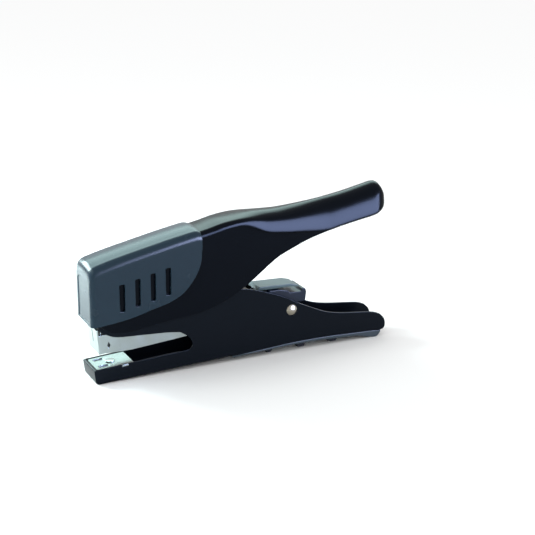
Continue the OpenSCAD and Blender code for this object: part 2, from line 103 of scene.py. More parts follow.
world = bpy.data.worlds.new("studio")
bpy.context.scene.world = world
world.use_nodes = True
world.node_tree.nodes["Background"].inputs["Color"].default_value = (1.0, 1.0, 1.0, 1)
world.node_tree.nodes["Background"].inputs["Strength"].default_value = 1.0

floor_mesh = bpy.data.meshes.new("floor")
FLOOR_HALF = 6.0
floor_corners = [(FLOOR_HALF * x, FLOOR_HALF * y, 0)
                 for x, y in ((-1, -1), (1, -1), (1, 1), (-1, 1))]
floor_mesh.from_pydata(floor_corners, [], [(0, 1, 2, 3)])
floor = bpy.data.objects.new("floor", floor_mesh)
bpy.context.scene.collection.objects.link(floor)
floor_paper = bpy.data.materials.new("floor_paper")
floor_paper.use_nodes = True
floor_shader = floor_paper.node_tree.nodes["Principled BSDF"]
floor_shader.inputs["Base Color"].default_value = (0.95, 0.95, 0.95, 1)
floor_shader.inputs["Roughness"].default_value = 0.9
floor_shader.inputs["Specular IOR Level"].default_value = 0.0
floor_mesh.materials.append(floor_paper)

# ---- Frame shell: one piece with the anvil arm, the throat and the lower handle.
# It is pressed from 1 mm steel sheet into a channel open at the top, with small bend radii
# along the belly, and is painted satin black all over.
MM = 0.001
BELLY_BEND = 1.3 * MM
SHEET_EDGE = 0.22 * MM
# the belly's bend runs between these two ends, below this height
BELLY_FROM, BELLY_TO, BELLY_TOP = -76 * MM, 77 * MM, 5.5 * MM
SIDE_SLACK = 0.01 * MM
SAME_PLACE = 0.0015 * MM
SAME_PLANE = math.radians(0.5)
EDGE_ANGLE = math.radians(28)


def merged_copy(node, name):
    """A CAD node's shape as a clean mesh: doubles merged, flat faces joined."""
    shape = bmesh.new()
    shape.from_mesh(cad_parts[node].data)
    bmesh.ops.remove_doubles(shape, verts=shape.verts, dist=SAME_PLACE)
    bmesh.ops.dissolve_limit(shape, angle_limit=SAME_PLANE, verts=shape.verts, edges=shape.edges)
    return as_piece(shape, name)


def as_piece(shape, name):
    mesh = bpy.data.meshes.new(name)
    shape.to_mesh(mesh)
    shape.free()
    piece = bpy.data.objects.new(name, mesh)
    bpy.context.scene.collection.objects.link(piece)
    return piece


def baked(piece):
    """The piece with its modifiers made into its mesh."""
    depsgraph = bpy.context.evaluated_depsgraph_get()
    mesh = bpy.data.meshes.new_from_object(piece.evaluated_get(depsgraph))
    piece.modifiers.clear()
    piece.data = mesh
    return piece


def weigh_edges(piece, weight_of):
    """How far each edge between two faces is rounded, as a share of the full width."""
    shape = bmesh.new()
    shape.from_mesh(piece.data)
    weights = shape.edges.layers.float.new("bevel_weight_edge")
    for edge in shape.edges:
        if len(edge.link_faces) == 2:
            edge[weights] = weight_of(edge)
    shape.to_mesh(piece.data)
    shape.free()


def rounded(piece, width, segments=3, angle=EDGE_ANGLE, by_weight=False, sharp=40):
    """The edges sharper than the angle, or the weighted ones, rounded off to the width.

    The flat faces stay flat to the eye; sharp is the angle in degrees over which shading breaks."""
    bevel = piece.modifiers.new("rounded_edges", "BEVEL")
    bevel.width = width
    bevel.segments = segments
    bevel.limit_method = "WEIGHT" if by_weight else "ANGLE"
    bevel.angle_limit = angle
    bevel.use_clamp_overlap = False
    bevel.miter_outer = "MITER_ARC"
    baked(piece)
    piece.data.shade_smooth()
    piece.data.set_sharp_from_angle(angle=math.radians(sharp))
    weighted = piece.modifiers.new("even_normals", "WEIGHTED_NORMAL")
    weighted.keep_sharp = True
    return piece


def node_group(name, inputs, outputs):
    tree = bpy.data.node_groups.new(name, "ShaderNodeTree")
    for label, kind, value in inputs:
        socket = tree.interface.new_socket(label, in_out="INPUT", socket_type=kind)
        socket.default_value = value
    for label, kind in outputs:
        tree.interface.new_socket(label, in_out="OUTPUT", socket_type=kind)
    return tree, tree.nodes.new("NodeGroupInput"), tree.nodes.new("NodeGroupOutput")


def noise(tree, coordinates, scale, detail=3.0):
    texture = tree.nodes.new("ShaderNodeTexNoise")
    texture.inputs["Detail"].default_value = detail
    tree.links.new(coordinates, texture.inputs["Vector"])
    if isinstance(scale, (int, float)):
        texture.inputs["Scale"].default_value = scale
    else:
        tree.links.new(scale, texture.inputs["Scale"])
    return texture.outputs["Fac"]


def math_node(tree, operation, first, second):
    node = tree.nodes.new("ShaderNodeMath")
    node.operation = operation
    for socket, value in zip(node.inputs, (first, second)):
        if isinstance(value, (int, float)):
            socket.default_value = value
        else:
            tree.links.new(value, socket)
    return node.outputs[0]


def make_finish_group():
    """Uneven gloss in broad patches, and a fine skin to raise as bump."""
    tree, given, made = node_group(
        "finish", [("Roughness", "NodeSocketFloat", 0.3), ("Patches", "NodeSocketFloat", 0.05),
                   ("Patch Scale", "NodeSocketFloat", 90.0),
                   ("Skin Scale", "NodeSocketFloat", 2500.0)],
        [("Roughness", "NodeSocketFloat"), ("Skin", "NodeSocketFloat")])
    place = tree.nodes.new("ShaderNodeTexCoord").outputs["Object"]
    patches = noise(tree, place, given.outputs["Patch Scale"])
    centred = math_node(tree, "SUBTRACT", patches, 0.5)
    strength = math_node(tree, "MULTIPLY", given.outputs["Patches"], 4)
    spread = math_node(tree, "MULTIPLY", centred, strength)
    tree.links.new(math_node(tree, "ADD", given.outputs["Roughness"], spread),
                   made.inputs["Roughness"])
    tree.links.new(noise(tree, place, given.outputs["Skin Scale"], 2), made.inputs["Skin"])
    return tree


TURN_KEPT_CLEAN = 0.96
WEAR_BREAKUP = 700.0
WEAR_GAIN = 9.0


def make_wear_group():
    """A mask of the edges that hands and paper rub: where the surface turns within a short way."""
    tree, given, made = node_group(
        "rubbed_edges", [("Reach", "NodeSocketFloat", 0.0004), ("Amount", "NodeSocketFloat", 1.0)],
        [("Mask", "NodeSocketFloat")])
    soft = tree.nodes.new("ShaderNodeBevel")
    soft.samples = 4
    tree.links.new(given.outputs["Reach"], soft.inputs["Radius"])
    facing = tree.nodes.new("ShaderNodeVectorMath")
    facing.operation = "DOT_PRODUCT"
    tree.links.new(soft.outputs["Normal"], facing.inputs[0])
    tree.links.new(tree.nodes.new("ShaderNodeNewGeometry").outputs["Normal"], facing.inputs[1])
    turned_away = math_node(tree, "SUBTRACT", TURN_KEPT_CLEAN, facing.outputs["Value"])
    place = tree.nodes.new("ShaderNodeTexCoord").outputs["Object"]
    broken = math_node(tree, "MULTIPLY", noise(tree, place, WEAR_BREAKUP, 4), WEAR_GAIN)
    raw = math_node(tree, "MULTIPLY", math_node(tree, "MAXIMUM", turned_away, 0.0), broken)
    masked = math_node(tree, "MULTIPLY", raw, given.outputs["Amount"])
    clamp = tree.nodes.new("ShaderNodeClamp")
    tree.links.new(masked, clamp.inputs["Value"])
    tree.links.new(clamp.outputs["Result"], made.inputs["Mask"])
    return tree


FINISH = make_finish_group()
RUBBED = make_wear_group()


WEAR_REACH = 0.4 * MM
SKIN_DEPTH = 0.2 * MM


def surface(name, colour, worn_colour, roughness, patches=0.04, patch_scale=90.0,
            skin_scale=2500.0, skin_height=0.02, wear=0.5, **constants):
    """A material with uneven gloss, a fine skin and lighter rubbed edges."""
    material = bpy.data.materials.new(name)
    material.use_nodes = True
    tree = material.node_tree
    shader = tree.nodes["Principled BSDF"]
    for socket, value in constants.items():
        shader.inputs[socket.replace("_", " ")].default_value = value
    finish = tree.nodes.new("ShaderNodeGroup")
    finish.node_tree = FINISH
    for socket, value in (("Roughness", roughness), ("Patches", patches),
                          ("Patch Scale", patch_scale), ("Skin Scale", skin_scale)):
        finish.inputs[socket].default_value = value
    rubbed = tree.nodes.new("ShaderNodeGroup")
    rubbed.node_tree = RUBBED
    rubbed.inputs["Amount"].default_value = wear
    rubbed.inputs["Reach"].default_value = WEAR_REACH
    mix = tree.nodes.new("ShaderNodeMix")
    mix.data_type = "RGBA"
    mix.inputs["A"].default_value = (*colour, 1)
    mix.inputs["B"].default_value = (*worn_colour, 1)
    tree.links.new(rubbed.outputs["Mask"], mix.inputs["Factor"])
    tree.links.new(mix.outputs["Result"], shader.inputs["Base Color"])
    tree.links.new(finish.outputs["Roughness"], shader.inputs["Roughness"])
    bump = tree.nodes.new("ShaderNodeBump")
    bump.inputs["Strength"].default_value = skin_height
    bump.inputs["Distance"].default_value = SKIN_DEPTH
    tree.links.new(finish.outputs["Skin"], bump.inputs["Height"])
    tree.links.new(bump.outputs["Normal"], shader.inputs["Normal"])
    return material


BLACK_PAINT = surface("black_paint", (0.0010, 0.0019, 0.0046), (0.025, 0.03, 0.036), 0.21,
                      patches=0.012, skin_height=0.005, wear=0.2, Specular_IOR_Level=0.07,
                      Specular_Tint=(0.8, 0.9, 1.0, 1))


def dressed(piece, material):
    piece.data.materials.clear()
    piece.data.materials.append(material)
    return piece


# the frame's coat is a shade greyer than the lever's
FRAME_PAINT = surface("frame_paint", (0.0042, 0.0062, 0.0105), (0.03, 0.035, 0.04), 0.21,
                      patches=0.012, skin_height=0.005, wear=0.2, Specular_IOR_Level=0.07,
                      Specular_Tint=(0.8, 0.9, 1.0, 1))
frame_shell = merged_copy("frame_shell", "frame_shell_pressing")
frame_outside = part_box("frame_shell")[1][1]


def frame_edge_weight(edge):
    if edge.calc_face_angle(0) < EDGE_ANGLE:
        return 0.0
    on_side = all(abs(abs(v.co.y) - frame_outside) < SIDE_SLACK for v in edge.verts)
    faces_down = any(face.normal.z < -0.9 for face in edge.link_faces)
    on_belly = all(BELLY_FROM < v.co.x < BELLY_TO and v.co.z < BELLY_TOP for v in edge.verts)
    return 1.0 if on_side and faces_down and on_belly else SHEET_EDGE / BELLY_BEND


weigh_edges(frame_shell, frame_edge_weight)
rounded(frame_shell, BELLY_BEND, by_weight=True)
dressed(frame_shell, FRAME_PAINT)
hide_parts("frame_shell")
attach(frame_shell, "frame")

# ---- Lever shell: the upper handle with its thick rounded grip.
# It is drawn from 1.1 mm steel sheet as an inverted trough, closed at the tip of the grip,
# with the grip swelling out over the flat side panels, and painted like the frame.
LEVER_SHEET = 1.1
LEVER_TOP = [(-79, 56.9), (-77, 59.9), (-73, 61.7), (-66.5, 63.3), (-42.9, 68.3), (-28, 71.1),
             (-19, 72.8), (-9, 75.0), (6.5, 76.5), (24, 76.4), (45, 78.4), (60, 80.6), (72, 83.1),
             (77.5, 84.15), (79.8, 83.2), (81.4, 80.4), (82.2, 77.6), (82.4, 76.2)]
LEVER_UNDER = [(-79, 34), (-76.5, 29.6), (-71, 26.6), (-62.3, 25.7), (-51.9, 26.9), (-43.4, 28.1),
               (-33.3, 28.9), (-25.2, 29.9), (-17.5, 31.9), (-9, 35.2), (-1.5, 39.4), (4.4, 43.4),
               (10.3, 47.8), (18.2, 53.3), (28.2, 57.7), (36.2, 60.7), (50.2, 64.4), (62.1, 66.7),
               (73.4, 68.7), (78.4, 70.7), (81.2, 72.9), (82.4, 75.0)]
# the fold between the flat side panel and the grip, and how far each stands from the middle
FOLD = [(-79, 53.4), (-66.5, 59.8), (-42.9, 64.8), (-28, 67.6), (-14, 70.3), (-7, 71.6),
        (-1, 71.5), (4, 69.9), (9, 67.9), (15, 66.3), (30.4, 64.8), (50, 64.1), (82.4, 70.0)]
PANEL_HALF = 10.45
GRIP_HALF = [(-79, 10.45), (-4, 10.45), (4, 10.8), (14, 11.2), (82.4, 11.2)]
GRIP_FROM, GRIP_FULL = -14, 12
GRIP_TIP = 82.4
LEVER_NOSE, ROW_STEP = -79, 1.6
# the rows stand closer together towards the tip
TIP_ROWS = [75.5, 76.6, 77.6, 78.5, 79.3, 80.0, 80.6, 81.1, 81.5, 81.85, 82.1, 82.25]
GRIP_TIP_ROUND = 9.0
# from the turn on, the hollow's rows draw together to its end
HOLLOW_TURN, HOLLOW_END = 74.0, 79.6
LEVER_EDGE = 0.22
LIP_ROUNDED_TO = 77.5
LIP_ANGLE = math.radians(55)
# the grip steps out over the panel by this rise, and its lines keep this clear of each other
GRIP_STEP = 0.7
LINES_CLEAR = 0.15
# how far the crown's curve is pulled towards its corner
CROWN_PULL = 0.62
SIDE_SHARE = 0.60
# each hole's place and radius: the fulcrum's bush and the roller's pin
FULCRUM_HOLE, ROLLER_HOLE = (-72.5, 46, 3.22), (-34.4, 45, 1.45)
LEAN_LOW, LEAN_HIGH = math.radians(8), math.radians(27)
FRONT_CORNER = 3.2
FRONT_CROWN = 0.3
# the front's row of points: up the side, round the corner, then along the top
SIDE_POINTS, CORNER_POINTS = 0.2, 0.75


def smooth_curve(points, steps=8):
    """The points joined by a smooth curve through them all, ascending in x."""
    out = []
    last = len(points) - 1
    for i in range(last):
        a, b, c, d = (Vector(points[max(0, min(last, i + k))]) for k in (-1, 0, 1, 2))
        for k in range(steps):
            t = k / steps
            out.append(0.5 * (2 * b + (c - a) * t + (2 * a - 5 * b + 4 * c - d) * t * t
                              + (3 * b - a - 3 * c + d) * t ** 3))
    out.append(Vector(points[-1]))
    return out


def height_at(curve, x):
    i = min(max(bisect.bisect_left(curve, x, key=lambda p: p[0]), 1), len(curve) - 1)
    a, b = curve[i - 1], curve[i]
    span = b[0] - a[0]
    t = min(max((x - a[0]) / span, 0), 1) if span > 1e-9 else 0
    return a[1] + (b[1] - a[1]) * t


def tip_scale(half, radius, distance):
    """The share of its half-width that a rounded end keeps at this distance from the end."""
    if distance >= radius:
        return 1.0
    return (half - radius + math.sqrt(max(radius ** 2 - (radius - distance) ** 2, 0))) / half


def ease(t):
    t = min(max(t, 0), 1)
    return t * t * (3 - 2 * t)


def bezier(a, b, c, d, t):
    u = 1 - t
    return [u ** 3 * p + 3 * u * u * t * q + 3 * u * t * t * r + t ** 3 * s
            for p, q, r, s in zip(a, b, c, d)]


def offset_row(row, distance):
    """The row of (y, z) points moved inward by the distance, square to itself."""
    out = []
    for k, point in enumerate(row):
        before, after = row[max(k - 1, 0)], row[min(k + 1, len(row) - 1)]
        along = Vector(after) - Vector(before)
        if k == len(row) - 1:
            along = Vector((-1, 0))
        square = Vector((-along.y, along.x)).normalized()
        out.append(tuple(Vector(point) + square * distance))
    return out


def hollow_loft(outer, inner, name, open_end):
    """A thick shell between two sets of half rows, mirrored in Y.

    Each row is (x, [(y, z), ...]) from the lower edge of the side to the middle of the top. The
    shell is open below; open_end is -1 or 0 for the row where it is open at an end, and the
    other end is closed."""
    shape = bmesh.new()

    def whole(x, half):
        both = [(-y, z) for y, z in half] + [(y, z) for y, z in half[-2::-1]]
        return [shape.verts.new(Vector((x, y, z)) * MM) for y, z in both]

    outside = [whole(x, half) for x, half in outer]
    inside = [whole(x, half) for x, half in inner]
    for rows in (outside, inside):
        for row, following in zip(rows, rows[1:]):
            for k in range(len(row) - 1):
                shape.faces.new((row[k], following[k], following[k + 1], row[k + 1]))
    for side in (0, -1):
        for i in range(len(outside) - 1):
            shape.faces.new((outside[i][side], outside[i + 1][side], inside[i + 1][side],
                             inside[i][side]))
    closed_end = -1 - open_end
    for k in range(len(outside[0]) - 1):
        shape.faces.new((outside[open_end][k], outside[open_end][k + 1], inside[open_end][k + 1],
                         inside[open_end][k]))
    shape.faces.new(outside[closed_end])
    shape.faces.new(inside[closed_end])
    shape.faces.new((outside[closed_end][0], outside[closed_end][-1], inside[closed_end][-1],
                     inside[closed_end][0]))
    bmesh.ops.recalc_face_normals(shape, faces=shape.faces)
    return as_piece(shape, name)


def cut(piece, tool):
    """The tool's shape taken out of the piece; the tool is used up."""
    away = piece.modifiers.new("cut", "BOOLEAN")
    away.operation = "DIFFERENCE"
    away.solver = "EXACT"
    away.object = tool
    baked(piece)
    bpy.data.objects.remove(tool)
    return piece


BAR_LENGTH = 40


def pin_hole(x, z, radius):
    """A round bar right across, to cut a hole with; sizes in mm."""
    tool = bmesh.new()
    bmesh.ops.create_cone(tool, cap_ends=True, segments=48, radius1=radius * MM,
                          radius2=radius * MM, depth=BAR_LENGTH * MM,
                          matrix=Matrix.Translation((x * MM, 0, z * MM))
                          @ Matrix.Rotation(math.pi / 2, 4, "X"))
    return as_piece(tool, "drill")


lever_top = smooth_curve(LEVER_TOP)
lever_under = smooth_curve(LEVER_UNDER)
fold = smooth_curve(FOLD)


def lever_half_row(x):
    top, under = height_at(lever_top, x), height_at(lever_under, x)
    start = min(max(height_at(fold, x), under + LINES_CLEAR), top - 0.5)
    swell = ease((x - GRIP_FROM) / (GRIP_FULL - GRIP_FROM))
    grip_half = height_at(GRIP_HALF, x)
    rise = top - start
    scale = tip_scale(grip_half, GRIP_TIP_ROUND, GRIP_TIP - x)
    row = [(PANEL_HALF, under + (start - under) * k / 10) for k in range(10)]
    # the grip: out over a small step, a leaning side, then a full rounded crown
    step_rise = min(GRIP_STEP, 0.2 * rise)
    side_rise = SIDE_SHARE * rise - step_rise
    grip = [(PANEL_HALF + (grip_half - PANEL_HALF) * math.sin(math.pi / 2 * t),
             start + step_rise * t * t) for t in (0, 0.3, 0.6, 0.85)]
    low, high = math.tan(LEAN_LOW), math.tan(LEAN_HIGH)
    for k in range(11):
        z = side_rise * k / 10
        grip.append((grip_half - low * z - (high - low) * z * z / (2 * side_rise),
                     start + step_rise + z))
    begin = Vector(grip[-1])
    corner = begin + Vector((-high, 1)) * (top - begin.y)
    for k in range(1, 15):
        grip.append(tuple(bezier(begin, begin.lerp(corner, CROWN_PULL),
                                 Vector((0, top)).lerp(corner, CROWN_PULL), (0, top), k / 14)))
    # the front: a plain corner bend under a nearly flat top
    front = []
    corner_r = min(FRONT_CORNER, 0.9 * rise)
    bend_z = top - FRONT_CROWN - corner_r
    count = len(grip) - 1
    for k in range(count + 1):
        t = k / count
        if t < SIDE_POINTS:
            front.append((PANEL_HALF, start + (bend_z - start) * t / SIDE_POINTS))
        elif t < CORNER_POINTS:
            a = math.pi / 2 * (t - SIDE_POINTS) / (CORNER_POINTS - SIDE_POINTS)
            front.append((PANEL_HALF - corner_r + corner_r * math.cos(a),
                          bend_z + corner_r * math.sin(a)))
        else:
            y = (PANEL_HALF - corner_r) * (1 - t) / (1 - CORNER_POINTS)
            front.append((y, top - FRONT_CROWN * (y / (PANEL_HALF - corner_r)) ** 2))
    row += [(f[0] + (g[0] - f[0]) * swell, f[1] + (g[1] - f[1]) * swell)
            for f, g in zip(front, grip)]
    return [(y * scale, z) for y, z in row]


lever_x = [LEVER_NOSE + ROW_STEP * k for k in range(97)] + TIP_ROWS
outer_rows = [(x, lever_half_row(x)) for x in lever_x]
# the hollow stops short of the tip, where the shell is closed
inner_x = [x if x < HOLLOW_TURN else
           HOLLOW_TURN + (x - HOLLOW_TURN) * (HOLLOW_END - HOLLOW_TURN) / (GRIP_TIP - HOLLOW_TURN)
           for x in lever_x]
inner_rows = [(x, offset_row(lever_half_row(x), LEVER_SHEET)) for x in inner_x]
lever_shell = hollow_loft(outer_rows, inner_rows, "lever_pressing", open_end=0)
for x, z, radius in (FULCRUM_HOLE, ROLLER_HOLE):
    cut(lever_shell, pin_hole(x, z, radius))


def lever_edge_weight(edge):
    before_tip = all(v.co.x < LIP_ROUNDED_TO * MM for v in edge.verts)
    return 1.0 if before_tip and edge.calc_face_angle(0) > LIP_ANGLE else 0.0


weigh_edges(lever_shell, lever_edge_weight)
rounded(lever_shell, LEVER_EDGE * MM, segments=2, by_weight=True, sharp=68)
dressed(lever_shell, BLACK_PAINT)
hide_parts("lever_shell")
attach(lever_shell, "lever")

# ---- Nose cap: the moulded cover over the front of the lever.
# It is a glossy slate-grey plastic shell, 1.5 mm thick, with full rounded top edges, a D-shaped
# rear edge on each side, four slots a side and a shallow panel let into its front.
CAP_WALL = 1.5
CAP_NOSE = -82.3
CAP_HALF = 12.0
CAP_CORNER = 4.4
CAP_CROWN = 0.7
CAP_FRONT_ROUND = 2.6
CAP_TOP = [(-82.3, 56.0), (-82.0, 58.4), (-80.9, 60.4), (-78.9, 61.8), (-76, 62.6), (-66.5, 65.0),
           (-42.9, 70.0), (-32, 72.1), (-28.5, 72.7), (-26.5, 72.95), (-24.8, 72.8), (-23.9, 72.4)]
CAP_UNDER = [(-82.3, 30.7), (-64.1, 32.7), (-51.1, 35.9), (-42, 38.2), (-34.4, 42), (-28.7, 48.3),
             (-25.5, 54.3), (-24.2, 60.3), (-23.9, 65.5)]
SLOT_WIDTH, SLOT_LENGTH, SLOT_PITCH = 2.9, 14.2, 8.0
SLOT_FIRST = (-66.2, 44.0)
SLOT_STEP_UP = 1.72
SLOT_TILT = math.radians(1.5)
FRONT_PANEL_MARGIN, FRONT_PANEL_STEP, FRONT_PANEL_DEPTH = 1.7, 0.35, 0.3
# the cap's roof gets thinner where it comes this near to the lever's top
ROOF_CLEAR = 0.06
CAP_EDGE = 0.28
# the front wall's thickness fades out within this length
FRONT_WALL_FADE = 6
# rows close together round the front, as distances from the nose, and at the D-shaped rear
NOSE_ROWS = (0, 0.1, 0.3, 0.6, 1.0, 1.5, 2.05, 2.6)
REAR_ROWS = [-30.4, -29.4, -28.4, -27.5, -26.7, -26.0, -25.4, -24.9, -24.5, -24.2, -23.95]
cap_top = smooth_curve(CAP_TOP)
cap_under = smooth_curve(CAP_UNDER)


def cap_half_row(x, wall=0.0):
    top, under = height_at(cap_top, x), height_at(cap_under, x)
    roof = min(wall, top - height_at(lever_top, x) - ROOF_CLEAR) if wall else 0.0
    half = CAP_HALF * tip_scale(CAP_HALF, CAP_FRONT_ROUND, x - CAP_NOSE)
    corner = min(CAP_CORNER, 0.9 * (top - under))
    half, top, corner = half - wall, top - roof, corner - wall
    bend_z = top - CAP_CROWN - corner
    row = [(half, under + (bend_z - under) * k / 10) for k in range(10)]
    row += [(half - corner + corner * math.cos(a), bend_z + corner * math.sin(a))
            for a in (math.pi / 2 * k / 12 for k in range(13))]
    row += [((half - corner) * t, top - CAP_CROWN * t * t) for t in (0.75, 0.5, 0.25, 0.0)]
    return row


cap_x = ([CAP_NOSE + d for d in NOSE_ROWS] + [-78 + 1.5 * k for k in range(32)] + REAR_ROWS)
outer_rows = [(x, cap_half_row(x)) for x in cap_x]
inner_x = [x + CAP_WALL * max(0, 1 - (x - CAP_NOSE) / FRONT_WALL_FADE) for x in cap_x]
inner_rows = [(x, cap_half_row(x, CAP_WALL)) for x in inner_x]
nose_cap = hollow_loft(outer_rows, inner_rows, "nose_cap_moulding", open_end=-1)

panel = bmesh.new()
panel.from_mesh(nose_cap.data)
front = min((face for face in panel.faces if len(face.verts) > 20),
            key=lambda face: face.calc_center_median().x)
bmesh.ops.inset_individual(panel, faces=[front], thickness=FRONT_PANEL_MARGIN * MM)
bmesh.ops.inset_individual(panel, faces=[front], thickness=FRONT_PANEL_STEP * MM,
                           depth=-FRONT_PANEL_DEPTH * MM)
panel.to_mesh(nose_cap.data)
panel.free()


def geometry_group(name, inputs):
    tree = bpy.data.node_groups.new(name, "GeometryNodeTree")
    tree.interface.new_socket("Geometry", in_out="INPUT", socket_type="NodeSocketGeometry")
    for label, kind, value in inputs:
        socket = tree.interface.new_socket(label, in_out="INPUT", socket_type=kind)
        if value is not None:
            socket.default_value = value
    tree.interface.new_socket("Geometry", in_out="OUTPUT", socket_type="NodeSocketGeometry")
    return tree, tree.nodes.new("NodeGroupInput"), tree.nodes.new("NodeGroupOutput")


def grown(name, tree, **values):
    """A new piece whose mesh a Geometry Nodes tree makes, baked, with the tree's inputs named."""
    piece = bpy.data.objects.new(name, bpy.data.meshes.new(name))
    bpy.context.scene.collection.objects.link(piece)
    modifier = piece.modifiers.new("grown", "NODES")
    modifier.node_group = tree
    for item in tree.interface.items_tree:
        if item.in_out == "INPUT" and item.name.replace(" ", "_") in values:
            modifier[item.identifier] = values[item.name.replace(" ", "_")]
    return baked(piece)


def make_row_tree():
    """Rounded bars across the cap in a rising row, to cut its slots with."""
    tree, given, made = geometry_group(
        "slot_row", [("Count", "NodeSocketInt", 4), ("First", "NodeSocketVector", None),
                     ("Step", "NodeSocketVector", None), ("Width", "NodeSocketFloat", 0.002),
                     ("Length", "NodeSocketFloat", 0.01), ("Tilt", "NodeSocketFloat", 0.0)])
    link = tree.links.new
    line = tree.nodes.new("GeometryNodeMeshLine")
    link(given.outputs["Count"], line.inputs["Count"])
    link(given.outputs["First"], line.inputs["Start Location"])
    link(given.outputs["Step"], line.inputs["Offset"])
    outline = tree.nodes.new("GeometryNodeCurvePrimitiveQuadrilateral")
    link(given.outputs["Width"], outline.inputs["Width"])
    link(given.outputs["Length"], outline.inputs["Height"])
    corner = tree.nodes.new("GeometryNodeFilletCurve")
    corner.mode = "POLY"
    corner.inputs["Count"].default_value = 10
    link(outline.outputs["Curve"], corner.inputs["Curve"])
    radius = tree.nodes.new("ShaderNodeMath")
    radius.operation = "MULTIPLY"
    radius.inputs[1].default_value = 0.3
    link(given.outputs["Width"], radius.inputs[0])
    link(radius.outputs[0], corner.inputs["Radius"])
    fill = tree.nodes.new("GeometryNodeFillCurve")
    fill.mode = "NGONS"
    link(corner.outputs["Curve"], fill.inputs["Curve"])
    thick = tree.nodes.new("GeometryNodeExtrudeMesh")
    thick.inputs["Offset Scale"].default_value = 0.04
    link(fill.outputs["Mesh"], thick.inputs["Mesh"])
    back = tree.nodes.new("GeometryNodeFlipFaces")
    link(fill.outputs["Mesh"], back.inputs["Mesh"])
    both = tree.nodes.new("GeometryNodeJoinGeometry")
    link(thick.outputs["Mesh"], both.inputs["Geometry"])
    link(back.outputs["Mesh"], both.inputs["Geometry"])
    joined = tree.nodes.new("GeometryNodeMergeByDistance")
    link(both.outputs["Geometry"], joined.inputs["Geometry"])
    centred = tree.nodes.new("GeometryNodeTransform")
    centred.inputs["Translation"].default_value = (0, 0, -0.02)
    link(joined.outputs["Geometry"], centred.inputs["Geometry"])
    turn = tree.nodes.new("ShaderNodeCombineXYZ")
    turn.inputs["X"].default_value = math.pi / 2
    link(given.outputs["Tilt"], turn.inputs["Y"])
    place = tree.nodes.new("GeometryNodeInstanceOnPoints")
    link(line.outputs["Mesh"], place.inputs["Points"])
    link(centred.outputs["Geometry"], place.inputs["Instance"])
    link(turn.outputs["Vector"], place.inputs["Rotation"])
    real = tree.nodes.new("GeometryNodeRealizeInstances")
    link(place.outputs["Instances"], real.inputs["Geometry"])
    link(real.outputs["Geometry"], made.inputs["Geometry"])
    return tree


slot_bars = grown("slot_bars", make_row_tree(), Count=4,
                  First=(SLOT_FIRST[0] * MM, 0, SLOT_FIRST[1] * MM),
                  Step=(SLOT_PITCH * MM, 0, SLOT_STEP_UP * MM), Width=SLOT_WIDTH * MM,
                  Length=SLOT_LENGTH * MM, Tilt=SLOT_TILT)
cut(nose_cap, slot_bars)
SLATE = surface("slate_plastic", (0.011, 0.027, 0.044), (0.06, 0.09, 0.1), 0.27, patches=0.006,
                skin_scale=1800.0, skin_height=0.006, wear=0.06, Specular_IOR_Level=0.16)
rounded(nose_cap, CAP_EDGE * MM, angle=math.radians(42))
dressed(nose_cap, SLATE)
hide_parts("nose_cap")
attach(nose_cap, "lever")

# ---- Coil springs: the magazine's lift spring, the latch's and the follower's.
# Each is wound from bright spring wire; one stands on the frame's floor, one sits under the
# latch, and the long one runs round the guide rod behind the follower.
def make_coil_tree():
    tree, given, made = geometry_group(
        "coil", [("Radius", "NodeSocketFloat", 0.003), ("Height", "NodeSocketFloat", 0.01),
                 ("Turns", "NodeSocketFloat", 6.0), ("Wire", "NodeSocketFloat", 0.0004),
                 ("Place", "NodeSocketVector", None), ("Turn", "NodeSocketVector", None),
                 ("Material", "NodeSocketMaterial", None)])
    link = tree.links.new
    spiral = tree.nodes.new("GeometryNodeCurveSpiral")
    spiral.inputs["Resolution"].default_value = 22
    link(given.outputs["Radius"], spiral.inputs["Start Radius"])
    link(given.outputs["Radius"], spiral.inputs["End Radius"])
    link(given.outputs["Height"], spiral.inputs["Height"])
    link(given.outputs["Turns"], spiral.inputs["Rotations"])
    ring = tree.nodes.new("GeometryNodeCurvePrimitiveCircle")
    ring.inputs["Resolution"].default_value = 10
    link(given.outputs["Wire"], ring.inputs["Radius"])
    wire = tree.nodes.new("GeometryNodeCurveToMesh")
    wire.inputs["Fill Caps"].default_value = True
    link(spiral.outputs["Curve"], wire.inputs["Curve"])
    link(ring.outputs["Curve"], wire.inputs["Profile Curve"])
    placed = tree.nodes.new("GeometryNodeTransform")
    link(wire.outputs["Mesh"], placed.inputs["Geometry"])
    link(given.outputs["Place"], placed.inputs["Translation"])
    link(given.outputs["Turn"], placed.inputs["Rotation"])
    smooth = tree.nodes.new("GeometryNodeSetShadeSmooth")
    link(placed.outputs["Geometry"], smooth.inputs["Geometry"])
    material = tree.nodes.new("GeometryNodeSetMaterial")
    link(smooth.outputs["Geometry"], material.inputs["Geometry"])
    link(given.outputs["Material"], material.inputs["Material"])
    link(material.outputs["Geometry"], made.inputs["Geometry"])
    return tree


SPRING_WIRE = surface("spring_wire", (0.5, 0.52, 0.54), (0.7, 0.7, 0.7), 0.28, patches=0.05,
                      patch_scale=400.0, skin_height=0.03, wear=0.1, Metallic=1.0)
COIL = make_coil_tree()
RIVET_PLACE = Vector((26.5, 0, 23)) * MM
MAGAZINE_RISE = math.radians(4.8)
# the follower's spring starts here from the main rivet, along the magazine and square to it
FOLLOWER_BACK = Vector((-91.15, 0, 3.8)) * MM


def coil_spring(node, foot, lean, radius, height, wire, turns):
    """A coil from its foot, leaning over from upright."""
    piece = grown(node + "_wire", COIL, Radius=radius - wire, Height=height - 2 * wire,
                  Turns=float(turns), Wire=wire, Place=tuple(foot), Turn=(0, lean, 0),
                  Material=SPRING_WIRE)
    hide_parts(node)
    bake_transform(piece)


